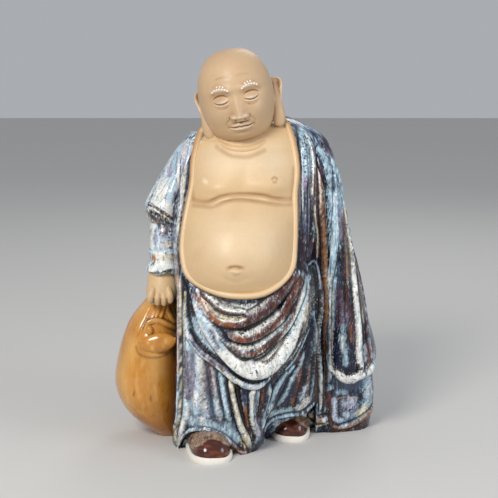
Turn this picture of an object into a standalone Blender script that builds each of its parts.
"""Standing ceramic figurine of a stout robed monk with a sack, press-moulded and fired as one piece.

Everything is modelled in millimetres about the figure's own axis: x to the viewer's right, y away from the
viewer, z up. The whole is then moved so that the origin is the bottom centre of the finished figurine.
"""

import math

import bmesh
import bpy
import numpy as np
from mathutils import Euler, Matrix, Vector

MM = 0.001

# Clay
WALL = 6.5
CLAY_GRAIN = 0.9
TRIANGLES = 10600
HOLLOW_TOP = 158.0
BELOW_GROUND = 6.0
GROUND_CUTTER = 150.0
POLE = 0.002

# Soft shaping by hand: how hard the sponge rounds the clay, and the low dome over the hollow as shares of the way
# to its middle with the rise in walls.
SPONGE = 0.35
HOLLOW_DOME = [(0.35, 1.0), (0.75, 1.7)]

# Crest of a fold: the share of its length that it tapers over, how low and how narrow its tips are, and the
# powers that round its ends and its section.
FOLD_END = 0.18
FOLD_TIP_HEIGHT = 0.05
FOLD_TIP_WIDTH = 0.5
FOLD_END_ROUND = 0.6
FOLD_ROUND = 0.7

# Robe, as sections from the ground up. Each goes round from the left side by the front to the back.
ROBE = [
    (0.0, [(-43, 5), (-41, -36), (-26, -50), (-4, -54), (8, -46), (15, -30), (32, -23), (47, -12),
           (60, -11), (77, -4), (81.5, 13), (71, 33), (42, 42), (0, 43), (-34, 35)]),
    (22.0, [(-42, 5), (-40, -38), (-26, -52), (-4, -56), (8, -52), (16, -43), (32, -34), (47, -18),
            (60, -12), (78, -5), (84, 12), (72, 31), (42, 40), (0, 41), (-33, 34)]),
    (50.0, [(-41, 4), (-38, -40), (-25, -53), (-3, -59), (10, -58), (20, -53), (33, -43), (45, -22),
            (56, -14), (72, -7), (80, 9), (70, 28), (42, 38), (0, 40), (-33, 32)]),
    (80.0, [(-42, 2), (-37, -40), (-24, -54), (-3, -61), (10, -60), (21, -56), (34, -46), (45, -25),
            (54, -15), (65, -8), (72, 7), (64, 26), (40, 36), (0, 39), (-34, 30)]),
    (110.0, [(-44, 0), (-38, -38), (-24, -50), (-3, -57), (10, -56), (21, -51), (33, -43), (43, -27),
             (51, -18), (60, -9), (66, 5), (59, 24), (38, 34), (0, 38), (-35, 28)]),
    (140.0, [(-45, 0), (-40, -26), (-26, -38), (-3, -42), (10, -41), (21, -39), (33, -35), (42, -26),
             (49, -18), (56, -9), (61, 4), (54, 21), (35, 32), (0, 36), (-36, 26)]),
    (165.0, [(-41, 0), (-36, -18), (-24, -25), (-3, -29), (10, -28), (20, -27), (31, -26), (39, -21),
             (46, -16), (54, -8), (58, 3), (50, 18), (32, 28), (0, 32), (-32, 23)]),
    (183.0, [(-29, 2), (-27, -10), (-20, -15), (-3, -17), (9, -17), (18, -17), (28, -17), (36, -14),
             (43, -10), (49, -4), (51.5, 4), (44, 15), (28, 23), (0, 26), (-23, 19)]),
    (194.0, [(-20, 4), (-18, -4), (-14, -7), (-3, -8), (7, -8), (14, -8), (22, -8), (27, -7),
             (31, -4), (34, 0), (35, 5), (30, 11), (19, 16), (0, 19), (-15, 14)]),
    (199.0, [(-8, 8), (-7, 6), (-5, 4), (-1, 3), (3, 3), (6, 3), (10, 3), (13, 4),
             (15, 5), (17, 6), (18, 8), (15, 10), (10, 12), (2, 13), (-5, 11)]),
]

# Long hanging sleeve on the viewer's right.
LONG_SLEEVE = [
    (35.0, [(64, -8), (65, -15), (68, -17), (72, -14), (74, -4), (72, 4), (68, 6), (65, 1)]),
    (38.5, [(56, -8), (58, -19), (68, -23), (77, -18), (81, -3), (78, 9), (68, 13), (58, 7)]),
    (52.0, [(54, -5), (55.5, -21), (67, -26), (77.5, -19), (84, -2), (80, 15), (69, 19), (58, 11)]),
    (80.0, [(54, -5), (55, -21), (65, -26), (73, -18), (76.5, -2), (74, 15), (66, 19), (57, 11)]),
    (110.0, [(52, -5), (53, -21), (60, -25), (66, -17), (69.5, -2), (67, 13), (60, 17), (54, 9)]),
    (140.0, [(48, -5), (50, -20), (55, -22), (60, -15), (63.5, -2), (61, 11), (55, 15), (50, 8)]),
    (168.0, [(42, -4), (44, -15), (49, -17), (54, -11), (57.5, -1), (55, 9), (49, 12), (44, 7)]),
    (184.0, [(38, -1), (39, -7), (43, -8), (47, -5), (48.5, 1), (47, 6), (43, 8), (39, 5)]),
]

# Folds, drawn on the robe as seen from the front: points as (x, z), height at the crest, reach to the upper or
# right side, reach to the lower or left side.
FOLDS = [
    ([(-25, 101), (-13, 94), (1, 92), (15, 94), (27, 103), (38, 114)], 3.0, 5.0, 2.6),
    ([(-24, 97), (-14, 85), (-3, 81), (8, 86), (19, 94), (29, 104), (38, 114)], 4.2, 6.5, 3.0),
    ([(-20, 90), (-6, 76), (6, 75), (17, 81), (27, 93), (38, 112)], 4.4, 6.0, 3.0),
    ([(-14, 78), (1, 66), (12, 67), (22, 76), (32, 90), (39, 111)], 4.4, 6.0, 3.0),
    ([(-29, 101), (-22, 85), (-15, 72), (-6, 60), (5, 53), (14, 56), (24, 66), (33, 83), (40, 108)], 5.6, 9.0, 3.4),
    ([(-33, 96), (-32, 80), (-24, 65), (-14, 55), (-3, 48), (5, 45), (15, 49), (27, 61), (36, 80), (41, 106)],
     5.0, 8.0, 2.6),
    ([(-37, 104), (-37, 72), (-38, 42), (-39, 17), (-41, 0)], 3.0, 4.0, 4.0),
    ([(-32, 78), (-33, 61), (-34, 30), (-36, 0)], 2.6, 3.6, 3.6),
    ([(-27, 62), (-28, 40), (-29, 22), (-31, 8)], 2.6, 4.0, 3.2),
    ([(-19, 56), (-19, 38), (-18, 24)], 2.2, 4.0, 3.2),
    ([(-9, 49), (-6, 36), (-2, 18), (3, 4), (5, -2)], 3.4, 3.4, 3.0),
    ([(-1, 45), (2, 30), (4, 14), (6, 2)], 2.6, 2.4, 2.4),
    ([(9, 46), (8, 33), (7, 19), (8, 2)], 3.6, 3.4, 3.0),
    ([(16, 44), (13, 30), (11, 14)], 2.4, 3.0, 3.0),
    ([(28, 56), (22, 38), (16, 23)], 2.8, 4.0, 3.4),
    ([(36, 72), (34, 48), (30, 28), (28, 19)], 3.0, 4.4, 3.6),
    ([(41, 98), (39, 72), (40, 48), (42, 22)], 3.0, 3.4, 3.4),
    ([(45, 112), (47, 85), (46, 62), (47, 39), (46, 6)], 4.0, 2.8, 3.0),
    ([(15, 14), (19, 17), (28, 18), (37, 17), (44, 22)], 3.0, 3.0, 1.8),
    ([(-37, 8), (-31, 16), (-22, 20), (-12, 17), (-6, 9), (-1, 2)], 3.2, 3.2, 1.8),
    ([(33, 190), (36, 170), (36, 145), (36, 122)], 2.8, 3.2, 3.0),
    ([(40, 186), (42, 161), (42, 138), (40, 116)], 3.0, 3.0, 3.0),
    ([(45, 180), (46, 155), (46, 131), (46, 110)], 4.2, 2.4, 3.2),
    ([(52, 12), (60, 8), (72, 8), (80, 12)], 1.6, 3.0, 3.0),
]
BACK_FOLDS = [
    ([(-26, 180), (-14, 164), (6, 157), (26, 167), (36, 182)], 2.0, 9.0, 5.0),
    ([(-33, 158), (-20, 138), (2, 126), (28, 138), (46, 164)], 2.4, 11.0, 5.0),
    ([(-35, 132), (-18, 106), (8, 92), (36, 106), (54, 140)], 2.4, 12.0, 6.0),
    ([(-30, 108), (-27, 70), (-29, 30), (-30, 0)], 2.4, 5.0, 7.0),
    ([(-14, 86), (-12, 48), (-14, 0)], 2.2, 7.0, 5.0),
    ([(6, 80), (8, 40), (5, 0)], 2.4, 6.0, 6.0),
    ([(24, 88), (29, 44), (27, 0)], 2.2, 6.0, 7.0),
    ([(44, 108), (50, 56), (49, 0)], 2.4, 7.0, 6.0),
]
SLEEVE_FOLDS = [
    ([(54, 176), (56, 150), (56, 120), (57, 92), (57, 60), (59, 44), (66, 38), (74, 40), (77, 54), (74, 76),
      (69, 104), (65, 128), (61, 154)], 3.0, 3.4, 3.4),
    ([(64, 150), (71, 112), (77, 72), (80, 46)], 2.2, 2.6, 2.6),
]

# Edge of the robe around the bare chest and belly, as (x, z), with its unglazed band.
OPENING = [(-26, 189), (-30, 174), (-31, 160), (-34, 144), (-36, 130), (-36, 118), (-33, 107), (-25, 101),
           (-13, 97), (-1, 96), (12, 97), (23, 102), (30, 110), (32, 122), (33, 141), (33, 154), (34, 168),
           (32, 182), (28, 193)]
BAND_RADIUS = 3.0
BAND_RISE = 0.6

# Bare body, as ellipsoids: centre and half sizes.
BODY = [
    ((-2, -20, 117), (41, 45.5, 36)),
    ((0, -12, 151), (36, 28.5, 24)),
    ((1, -6, 166), (40, 31, 26)),
    ((-16, -20, 161), (20, 17.5, 11.5)),
    ((18, -20, 162), (20, 17.5, 11.5)),
    ((1, -3, 181), (30, 20, 13)),
    ((-4, -11, 188), (19, 19, 11)),
]

# Fold of skin under the chin.
NECK_ROLL = [(-21, -9, 190), (-14, -25, 183.5), (-1, -31, 180.5), (12, -26, 183.5), (18, -9, 191)]
NECK_ROLL_RADIUS = 3.2

# Head, tilted towards the viewer's left shoulder and a little forward.
HEAD_CENTRE = (-3.6, -14.0, 211.0)
HEAD_HEIGHT = 54.0
HEAD_WIDTH = 45.0
HEAD_DEPTH = 50.0
HEAD_FULLNESS = 0.76
HEAD_ROLL = math.radians(-11)
HEAD_PITCH = math.radians(3)
EAR_LENGTH = 28.0
EAR_THICKNESS = 3.4

# Line of an ear from its root over the top and down the lobe: shares of the head's half width, depth,
# share of the ear's length above the eyes, and share of its thickness.
EAR = [(0.94, 0, 0.05, 0.6), (1.03, 3, 0.17, 1.0), (1.07, 6, 0.04, 0.95), (1.03, 4, -0.2, 0.85),
       (1.0, 1, -0.5, 1.0), (0.99, -1, -0.74, 1.0), (0.98, -1.5, -0.82, 0.4)]

# Face, a plain calm one with lowered lids, in shares of the head's height from the line of the eyes: distance
# from the middle, height, half width, half height and rise. What lies off the middle comes in pairs.
FACE = {
    "eye socket": (0.163, 0.015, 0.100, 0.067, -0.048),
    "eyelid": (0.163, -0.008, 0.074, 0.043, 0.050),
    "brow": (0.163, 0.100, 0.122, 0.037, 0.028),
    "nostril": (0.070, -0.195, 0.036, 0.033, 0.040),
    "upper lip": (0, -0.280, 0.100, 0.026, 0.044),
    "lower lip": (0, -0.348, 0.085, 0.030, 0.050),
    "mouth line": (0, -0.312, 0.125, 0.017, -0.050),
    "mouth corner": (0.137, -0.305, 0.026, 0.030, -0.017),
    "cheek": (0.231, -0.178, 0.111, 0.111, 0.033),
    "chin": (0, -0.430, 0.111, 0.063, 0.037),
}
# Nose: its root, its tip and its foot, its half width and its rise.
NOSE = (0.056, -0.205, -0.255, 0.066, 0.098)

# Arm on the viewer's left, with a wide outer sleeve, a narrow inner sleeve and a flared cuff: along the arm,
# centre, half width and half depth.
OUTER_SLEEVE = [((-27, 3, 187), 5, 9), ((-32, 2, 176), 9, 15), ((-38, 0, 162), 12, 19), ((-44, -3, 150), 13, 20),
                ((-47, -5, 142), 12.5, 20), ((-47, -7, 135), 10.5, 17)]
ARM_FOLDS = [
    ([(-28, 186), (-33, 167), (-37, 150), (-38, 136)], 1.8, 2.6, 2.6),
    ([(-32, 182), (-39, 162), (-44, 146)], 1.6, 3.4, 3.4),
    ([(-58, 143), (-50, 140), (-43, 134), (-37, 131)], 2.0, 4.0, 1.8),
]
INNER_SLEEVE = [((-47, -6, 140), 9.6, 12), ((-47, -11, 126), 9.8, 11.5), ((-47.5, -15, 113), 9, 10.5),
                ((-48, -17, 109), 8, 9)]
CUFF = [((-47.5, -16, 113), 8.5, 9.5), ((-47.5, -17, 108), 9.2, 10.5), ((-48, -18, 102), 10.6, 12),
        ((-48, -19, 99), 9.6, 11)]
HAND = [((-48, -18, 103), 7.5, 8), ((-48, -21, 96), 8.3, 8), ((-48.5, -24, 90), 8, 6.5), ((-49, -25, 86), 6, 5)]
# Fingers, from a shared root in the palm over the knuckle to the tip: place across and height of each tip.
FINGERS = [(-55.5, 83), (-51, 81), (-46.5, 81.5), (-42.4, 84)]
FINGER_RADIUS = 2.4
FINGER_TIP = 0.7
PALM = (-48, -25, 97)
KNUCKLE = (-29, 92)

# Sack: height, left edge, right edge, half depth; its middle lies at SACK_Y.
SACK_Y = -9.0
SACK = [(-6, -50, -44, 4), (0, -56, -39, 9), (5, -62.5, -36, 14), (14, -71, -36, 20), (25, -76, -36, 25),
        (37, -77.5, -37, 26), (52, -74, -38, 24), (64, -69.5, -39, 21), (74, -65, -39, 17), (83, -59, -40, 12),
        (90, -54, -43, 8)]
# Its tied cloth, laid on the front of the sack: a knot, a folded flap below it and a twisted end over both.
KNOT = (-56, 70)
KNOT_RADIUS = 3.4
KNOT_RISE = 1.5
FLAP = (-51, 61)
FLAP_HALF = (12.5, 4.5, 6.5)
TIE = [(-61, 64), (-60, 70), (-55, 74), (-48.5, 74.5), (-43, 70), (-39.5, 64)]
TIE_RADIUS = 1.9

# Shoes: middle of the toe cap, half width, length, and the sole under it.
SHOES = [((-20, -69), 13.2, 44, 9), ((28.5, -33), 11.8, 40, -3)]
SHOE_HEIGHT = 15.0
SOLE_THICKNESS = 3.4
SOLE_MARGIN = 1.0
TOE_ROUND = 0.8
INSTEP_ROUND = 3

SKIN = (0.66, 0.45, 0.24, 1.0)


def through(points, steps, closed=False):
    """A smooth curve through points along the first axis: Catmull-Rom, with this many steps in each span."""
    points = np.asarray(points, float)
    if closed:
        points = np.concatenate([points[-1:], points, points[:2]])
    else:
        points = np.concatenate([2 * points[:1] - points[1:2], points, 2 * points[-1:] - points[-2:-1]])
    before, start, end, after = points[:-3], points[1:-2], points[2:-1], points[3:]
    t = (np.arange(steps) / steps).reshape((1, steps) + (1,) * (points.ndim - 1))
    before, start, end, after = (part[:, None] for part in (before, start, end, after))
    curve = 0.5 * (
        2 * start
        + (end - before) * t
        + (2 * before - 5 * start + 4 * end - after) * t ** 2
        + (3 * start - before - 3 * end + after) * t ** 3
    )
    curve = curve.reshape((-1,) + points.shape[1:])
    return curve if closed else np.concatenate([curve, points[-2:-1]])


def sections_grid(sections, rows, columns):
    """Points of a loft: a grid of rows up the sections and columns round them."""
    stack = np.array([[(x, y, z) for x, y in outline] for z, outline in sections], float)
    first = stack[:1] - np.array([0, 0, BELOW_GROUND]) if sections[0][0] == 0 else stack[:0]
    up = through(np.concatenate([first, stack]), rows)
    return through(up.swapaxes(0, 1), columns, closed=True).swapaxes(0, 1)


def outward(grid):
    """Unit normals of a grid that is closed round its second axis, pointing out of it."""
    up = np.gradient(grid, axis=0)
    around = np.roll(grid, -1, axis=1) - np.roll(grid, 1, axis=1)
    normal = np.cross(around, up)
    normal /= np.linalg.norm(normal, axis=2, keepdims=True) + 1e-9
    middle = grid.mean(axis=1, keepdims=True)
    return normal * np.sign(((grid - middle) * normal).sum())


def fold_path(grid, normals, line, facing):
    """The line of a fold laid on a loft: facing is -1 for the front and 1 for the back."""
    flat = through(line, 8)
    seen = normals[:, :, 1] * facing > 0
    spots = grid[seen]
    reach = ((spots[None, :, 0] - flat[:, None, 0]) ** 2 + (spots[None, :, 2] - flat[:, None, 1]) ** 2)
    depth = spots[reach.argmin(axis=1), 1]
    kernel = np.ones(7) / 7
    depth = np.convolve(np.pad(depth, 3, mode="edge"), kernel, mode="valid")
    return np.stack([flat[:, 0], depth, flat[:, 1]], axis=1)


def folded(grid, folds, facing):
    """The loft with its folds raised: each fold is a rounded ridge that tapers to both its ends."""
    normals = outward(grid)
    spots = grid.reshape(-1, 3)
    relief = np.zeros(len(spots))
    for line, height, above, below in folds:
        path = fold_path(grid, normals, line, facing)
        run = path[1:] - path[:-1]
        length = np.linalg.norm(run, axis=1)
        from_start = np.concatenate([[0], length.cumsum()])
        near = np.flatnonzero(
            ((spots > path.min(axis=0) - above) & (spots < path.max(axis=0) + above)).all(axis=1)
        )
        offset = spots[near, None] - path[None, :-1]
        share = np.clip((offset * run).sum(axis=2) / length ** 2, 0, 1)
        away = np.linalg.norm(offset - share[..., None] * run, axis=2)
        best = away.argmin(axis=1)
        pick = np.arange(len(near))
        away = away[pick, best]
        upper = run[best, 0] * offset[pick, best, 2] - run[best, 2] * offset[pick, best, 0] > 0
        along = (from_start[best] + share[pick, best] * length[best]) / from_start[-1]
        taper = np.clip(np.minimum(along, 1 - along) / FOLD_END, FOLD_TIP_HEIGHT, 1) ** FOLD_END_ROUND
        width = np.where(upper, above, below) * (FOLD_TIP_WIDTH + (1 - FOLD_TIP_WIDTH) * taper)
        ridge = height * taper * np.clip(1 - (away / width) ** 2, 0, 1) ** FOLD_ROUND
        relief[near] = np.maximum(relief[near], ridge)
    return grid + normals * relief.reshape(grid.shape[:2] + (1,))


def mesh_object(name, points, faces):
    mesh = bpy.data.meshes.new(name)
    mesh.from_pydata([tuple(point) for point in points], [], faces)
    obj = bpy.data.objects.new(name, mesh)
    bpy.context.scene.collection.objects.link(obj)
    return obj


def loft(name, grid):
    """A closed body over a grid: its sides are the grid's quads, and its two ends are flat caps."""
    rows, columns = grid.shape[:2]
    index = np.arange(rows * columns).reshape(rows, columns)
    after = np.roll(index, -1, axis=1)
    sides = np.stack([index[:-1], after[:-1], after[1:], index[1:]], axis=2).reshape(-1, 4)
    faces = sides.tolist() + [index[0, ::-1].tolist(), index[-1].tolist()]
    obj = mesh_object(name, grid.reshape(-1, 3), faces)
    shell = bmesh.new()
    shell.from_mesh(obj.data)
    bmesh.ops.recalc_face_normals(shell, faces=shell.faces)
    shell.to_mesh(obj.data)
    shell.free()
    return obj


def ovals_grid(rings, rows, columns):
    """Points of a loft through level ovals, each with a centre, a half width and a half depth."""
    table = through([(*centre, wide, deep) for centre, wide, deep in rings], rows)
    angle = np.linspace(0, 2 * math.pi, columns, endpoint=False)
    x = table[:, 0, None] + table[:, 3, None] * np.cos(angle)
    y = table[:, 1, None] + table[:, 4, None] * np.sin(angle)
    z = np.repeat(table[:, 2, None], columns, axis=1)
    return np.stack([x, y, z], axis=2)


def ball(name, centre, half):
    bpy.ops.mesh.primitive_uv_sphere_add(segments=64, ring_count=40, radius=1, location=centre)
    obj = bpy.context.object
    obj.name = name
    obj.scale = half
    return obj


def rod(name, points, radii):
    """A round bar of clay along points, with its own radius at each."""
    curve = bpy.data.curves.new(name, "CURVE")
    curve.dimensions = "3D"
    curve.bevel_depth = 1
    curve.bevel_resolution = 5
    curve.use_fill_caps = True
    spline = curve.splines.new("POLY")
    path = through(points, 6)
    sizes = through(np.asarray(radii, float)[:, None], 6)[:, 0]
    spline.points.add(len(path) - 1)
    for spot, place, radius in zip(spline.points, path, sizes):
        spot.co = (*place, 1)
        spot.radius = radius
    obj = bpy.data.objects.new(name, curve)
    bpy.context.scene.collection.objects.link(obj)
    return as_mesh(obj)


def as_mesh(obj):
    """The same shape as a mesh object, with its caps welded on."""
    graph = bpy.context.evaluated_depsgraph_get()
    mesh = bpy.data.meshes.new_from_object(obj.evaluated_get(graph))
    shell = bmesh.new()
    shell.from_mesh(mesh)
    bmesh.ops.remove_doubles(shell, verts=shell.verts, dist=0.0001)
    shell.to_mesh(mesh)
    shell.free()
    solid = bpy.data.objects.new(obj.name, mesh)
    solid.matrix_world = obj.matrix_world.copy()
    bpy.context.scene.collection.objects.link(solid)
    bpy.data.objects.remove(obj)
    return solid


def bump(x, z, at_x, at_z, wide, tall):
    """A soft round swelling of height one at a place on the face."""
    return np.exp(-((x - at_x) / wide) ** 2 - ((z - at_z) / tall) ** 2)


def face_relief(x, z):
    """How far the face stands out at a place on the front of the head, all in shares of the head's height."""
    lift = sum(rise * bump(np.abs(x), z, *spot) for *spot, rise in FACE.values())
    top, tip, foot, wide, rise = NOSE
    slope = np.clip((top - z) / (top - tip), 0, 1) ** 1.4
    under = np.clip((z - foot) / (tip - foot), 0, 1) ** 0.5
    return lift + rise * slope * under * np.exp(-(x / wide) ** 2)


def head():
    """Rounded skull and full jaw, with the face raised on its front and a long ear on each side."""
    half = np.array([HEAD_WIDTH, HEAD_DEPTH, HEAD_HEIGHT]) / 2
    down = np.linspace(POLE, math.pi - POLE, 120)[:, None]
    around = np.linspace(0, 2 * math.pi, 240, endpoint=False)[None]
    out = np.sin(down) ** HEAD_FULLNESS
    x = half[0] * out * np.cos(around)
    z = half[2] * np.cos(down) + 0 * around
    facing = np.clip(-np.sin(around) * out, 0, 1) ** 0.5
    rise = HEAD_HEIGHT * face_relief(x / HEAD_HEIGHT, z / HEAD_HEIGHT)
    y = half[1] * out * np.sin(around) - facing * rise
    made = [loft("head", np.stack([x, y, z], axis=2))]
    for side in (-1, 1):
        line = [(side * half[0] * out, back, rise * EAR_LENGTH) for out, back, rise, thick in EAR]
        made.append(rod("ear", line, [EAR_THICKNESS * thick for *place, thick in EAR]))
    tilt = Euler((HEAD_PITCH, HEAD_ROLL, 0)).to_matrix().to_4x4()
    for obj in made:
        obj.matrix_world = Matrix.Translation(HEAD_CENTRE) @ tilt
    return made


def sack():
    """The sack, with its knot, flap and twisted end laid on its front."""
    rings = [((0.5 * (left + right), SACK_Y, z), 0.5 * (right - left), deep) for z, left, right, deep in SACK]
    grid = ovals_grid(rings, 8, 64)
    normals = outward(grid)
    tie = fold_path(grid, normals, TIE, -1)[::4]
    knot = fold_path(grid, normals, [KNOT, KNOT], -1)[0] - np.array([0, KNOT_RISE, 0])
    flap = fold_path(grid, normals, [FLAP, FLAP], -1)[0]
    return [loft("sack", grid), rod("tie", tie, [TIE_RADIUS] * len(tie)),
            ball("knot", knot, (KNOT_RADIUS,) * 3), ball("flap", flap, FLAP_HALF)]


def shoe(toe, half_width, length, turn):
    """A round-toed slipper on a flat sole that stands out a little all round."""
    made = []
    lengthwise = length / 2
    for name, margin, low, high in (
        ("upper", 0, SOLE_THICKNESS - 1, SHOE_HEIGHT),
        ("sole", SOLE_MARGIN, -BELOW_GROUND, SOLE_THICKNESS),
    ):
        angle = np.linspace(0, 2 * math.pi, 64, endpoint=False)
        levels = np.linspace(0, 1, 12)[:, None]
        shrink = np.sqrt(1 - levels ** INSTEP_ROUND + POLE) if name == "upper" else 1 + 0 * levels
        x = (half_width + margin) * shrink * np.sign(np.cos(angle)) * np.abs(np.cos(angle)) ** TOE_ROUND
        y = (lengthwise + margin) * shrink * np.sign(np.sin(angle)) * np.abs(np.sin(angle)) ** TOE_ROUND
        z = low + (high - low) * levels + 0 * angle
        obj = loft(name, np.stack([x, y, z], axis=2))
        spin = math.radians(turn)
        middle = Vector((toe[0], toe[1], 0)) + Matrix.Rotation(spin, 3, "Z") @ Vector((0, lengthwise, 0))
        obj.matrix_world = Matrix.Translation(middle) @ Matrix.Rotation(spin, 4, "Z")
        made.append(obj)
    return made


def arm():
    made = [loft("outer sleeve", folded(ovals_grid(OUTER_SLEEVE, 12, 120), ARM_FOLDS, -1)),
            loft("inner sleeve", ovals_grid(INNER_SLEEVE, 8, 48)),
            loft("cuff", ovals_grid(CUFF, 8, 48)),
            loft("hand", ovals_grid(HAND, 8, 40))]
    deep, high = KNUCKLE
    for x, tip in FINGERS:
        root = (0.5 * (x + PALM[0]), PALM[1], PALM[2])
        line = [root, (x, deep, high), (x, deep, 0.5 * (high + tip)), (x, deep, tip)]
        made.append(rod("finger", line, [FINGER_RADIUS] * 3 + [FINGER_RADIUS * FINGER_TIP]))
    return made


def opening_band(robe_grid):
    """The unglazed band round the bare chest and belly, laid on the robe."""
    path = fold_path(robe_grid, outward(robe_grid), OPENING, -1)
    path[:, 1] -= BAND_RISE
    return rod("band", path[::4], [BAND_RADIUS] * len(path[::4]))


def clay_forms():
    """Every form that was joined in the wet clay."""
    robe = sections_grid(ROBE, 16, 18)
    dressed = folded(folded(robe, FOLDS, -1), BACK_FOLDS, 1)
    sleeve = folded(sections_grid(LONG_SLEEVE, 14, 14), SLEEVE_FOLDS, -1)
    forms = [loft("robe", dressed), loft("long sleeve", sleeve), opening_band(robe)]
    forms += [ball("body", centre, half) for centre, half in BODY]
    forms.append(rod("neck roll", NECK_ROLL, [NECK_ROLL_RADIUS] * len(NECK_ROLL)))
    forms += head() + arm() + sack()
    for toe, half_width, length, turn in SHOES:
        forms += shoe(toe, half_width, length, turn)
    return forms


def hollow():
    """The space inside the pressed walls, open below: it follows the robe, one wall in, up to a low dome."""
    lower = [(z, outline) for z, outline in ROBE if z < HOLLOW_TOP]
    space = sections_grid(lower, 2, 2)
    space = space - outward(space) * WALL
    top = space[-1].mean(axis=0)
    dome = [space[-1] + (top - space[-1]) * share + np.array([0, 0, WALL * lift]) for share, lift in HOLLOW_DOME]
    return loft("hollow", np.concatenate([space, np.array(dome)]))


def joined(name, forms):
    """One object holding the given forms where they stand, now in metres."""
    bpy.context.view_layer.update()
    shell = bmesh.new()
    for obj in forms:
        mesh = obj.data.copy()
        mesh.transform(Matrix.Scale(MM, 4) @ obj.matrix_world)
        shell.from_mesh(mesh)
        bpy.data.objects.remove(obj)
        bpy.data.meshes.remove(mesh)
    bmesh.ops.recalc_face_normals(shell, faces=shell.faces)
    mesh = bpy.data.meshes.new(name)
    shell.to_mesh(mesh)
    shell.free()
    obj = bpy.data.objects.new(name, mesh)
    bpy.context.scene.collection.objects.link(obj)
    return obj


def cutters_under(collection):
    """The ground under the figurine, which its base is cut flat on, and the hollow inside it."""
    bpy.ops.mesh.primitive_cube_add(size=1, location=(0, 0, -GROUND_CUTTER / 2))
    ground = bpy.context.object
    ground.name = "ground"
    ground.scale = (2 * GROUND_CUTTER, 2 * GROUND_CUTTER, GROUND_CUTTER)
    bpy.context.view_layer.update()
    made = [joined("ground", [ground]), joined("hollow", [hollow()])]
    for cutter in made:
        keep_in(collection, cutter)
        cutter.hide_render = True
        cutter.display_type = "WIRE"
    return made


def keep_in(collection, obj):
    for holder in list(obj.users_collection):
        holder.objects.unlink(obj)
    collection.objects.link(obj)


def clay():
    material = bpy.data.materials.new("fired clay")
    material.use_nodes = True
    shader = material.node_tree.nodes["Principled BSDF"]
    shader.inputs["Base Color"].default_value = SKIN
    shader.inputs["Roughness"].default_value = 0.5
    return material


def collection(name):
    made = bpy.data.collections.new(name)
    bpy.context.scene.collection.children.link(made)
    return made


def triangles(obj):
    graph = bpy.context.evaluated_depsgraph_get()
    return sum(len(polygon.vertices) - 2 for polygon in obj.evaluated_get(graph).data.polygons)


def main():
    for obj in list(bpy.data.objects):
        bpy.data.objects.remove(obj)
    figurine = joined("figurine", clay_forms())
    keep_in(collection("standing figurine"), figurine)
    figurine.data.materials.append(clay())
    one_body = figurine.modifiers.new("one clay body", "REMESH")
    one_body.mode = "VOXEL"
    one_body.voxel_size = CLAY_GRAIN * MM
    one_body.use_smooth_shade = True
    smooth = figurine.modifiers.new("wiped with a damp sponge", "SMOOTH")
    smooth.factor = SPONGE
    smooth.iterations = 1
    fewer = figurine.modifiers.new("fewer faces", "DECIMATE")
    fewer.ratio = TRIANGLES / triangles(figurine)
    for cutter in cutters_under(collection("cutters")):
        cut = figurine.modifiers.new(cutter.name, "BOOLEAN")
        cut.operation = "DIFFERENCE"
        cut.object = cutter
    graph = bpy.context.evaluated_depsgraph_get()
    solid = figurine.evaluated_get(graph).data
    spots = np.array([vertex.co for vertex in solid.vertices])
    low, high = spots.min(axis=0), spots.max(axis=0)
    base = bpy.data.objects.new("base centre", None)
    bpy.context.scene.collection.objects.link(base)
    for obj in bpy.data.objects:
        if obj != base:
            obj.parent = base
    base.location = (-(low[0] + high[0]) / 2, -(low[1] + high[1]) / 2, 0)


main()
